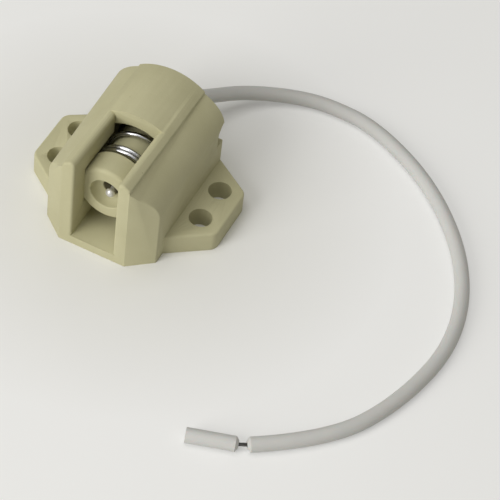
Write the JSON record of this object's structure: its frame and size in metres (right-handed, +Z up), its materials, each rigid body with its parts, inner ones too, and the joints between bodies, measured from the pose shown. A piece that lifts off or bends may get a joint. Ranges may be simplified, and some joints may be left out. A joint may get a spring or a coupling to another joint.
{
  "type": "ceramic double-ended lamp holder",
  "caption": "Ceramic holder for one end of a double-ended lamp, with drilled ears, an open slot, a spring-loaded contact plunger and a short insulated lead.",
  "frame": {"origin": "on the mounting face, centred across the ears and half way along the body", "axes": "+X across the holder from ear to ear, +Y from the open lamp slot to the back where the lead leaves, +Z up from the mounting face"},
  "size_m": [0.1019, 0.102, 0.0262],
  "materials": {
    "steatite": "matt, unglazed, warm beige grey",
    "plate_steel": "dull stamped steel",
    "spring_steel": "bright drawn wire",
    "contact_metal": "bright plated metal",
    "strand": "twisted grey wire strands",
    "silicone": "matt off-white silicone rubber"
  },
  "bodies": {
    "holder": {"housing": "steatite", "rear_plate": "plate_steel", "compression_spring": "spring_steel"},
    "plunger": {"plunger_sleeve": "steatite", "contact_pin": "contact_metal", "contact_washer": "plate_steel", "crimp_ferrule": "contact_metal", "inner_conductor": "strand", "inner_lead": "silicone", "outer_lead": "silicone", "bare_conductor": "strand", "cut_slug": "silicone"}
  },
  "joints": [
    {"name": "plunger_slide", "type": "slide", "parent": "holder", "child": "plunger", "axis": [0, 1, 0], "range_m": [0, 0.005], "stiffness_N_per_m": 1200, "springref_m": -0.003, "deforming": ["compression_spring"]}
  ]
}
